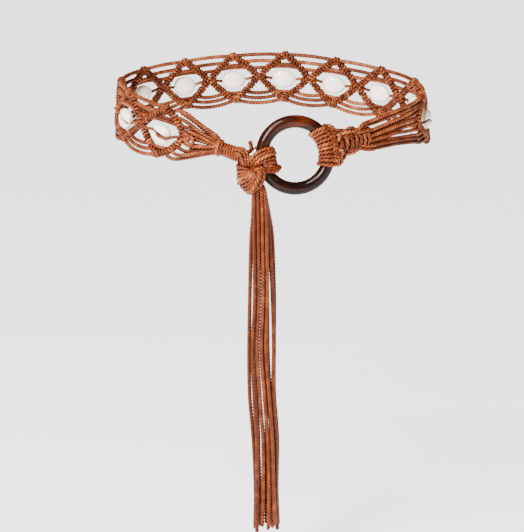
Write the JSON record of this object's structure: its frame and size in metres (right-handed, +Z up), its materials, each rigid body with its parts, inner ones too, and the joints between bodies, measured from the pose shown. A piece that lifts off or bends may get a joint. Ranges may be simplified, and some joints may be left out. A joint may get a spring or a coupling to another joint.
{
  "type": "knotted cord belt",
  "caption": "Knotted cord belt with diamonds of net that hold cowrie shells, tied through a round wooden ring, with its cord ends hanging as a long fringe.",
  "frame": {"origin": "middle of the waist loop, at the height where a level line through its sides lies", "axes": "+Z up, -Y to the front where the ring is, +X to the viewer's right"},
  "size_m": [0.2951, 0.2273, 0.4103],
  "materials": {
    "cord": "waxed three-ply twisted cord, tan brown with a soft sheen",
    "ring_wood": "dark red-brown wood under gloss varnish",
    "shell": "natural cowrie shell, ivory and glossy"
  },
  "bodies": {
    "root": {"ring": "ring_wood", "ring_hitches": "cord", "flat_knots": "cord", "fan_right": "cord", "net_1": "cord", "net_2": "cord", "net_3": "cord", "net_4": "cord", "net_5": "cord", "net_6": "cord", "net_7": "cord", "net_8": "cord", "net_9": "cord", "net_10": "cord", "net_11": "cord", "fan_left": "cord", "neck_wrap": "cord", "ring_knot": "cord", "fringe": "cord", "cowrie_1": "shell", "cowrie_2": "shell", "cowrie_3": "shell", "cowrie_4": "shell", "cowrie_5": "shell", "cowrie_6": "shell", "cowrie_7": "shell", "cowrie_8": "shell", "cowrie_9": "shell", "cowrie_10": "shell", "cowrie_11": "shell"}
  },
  "joints": []
}
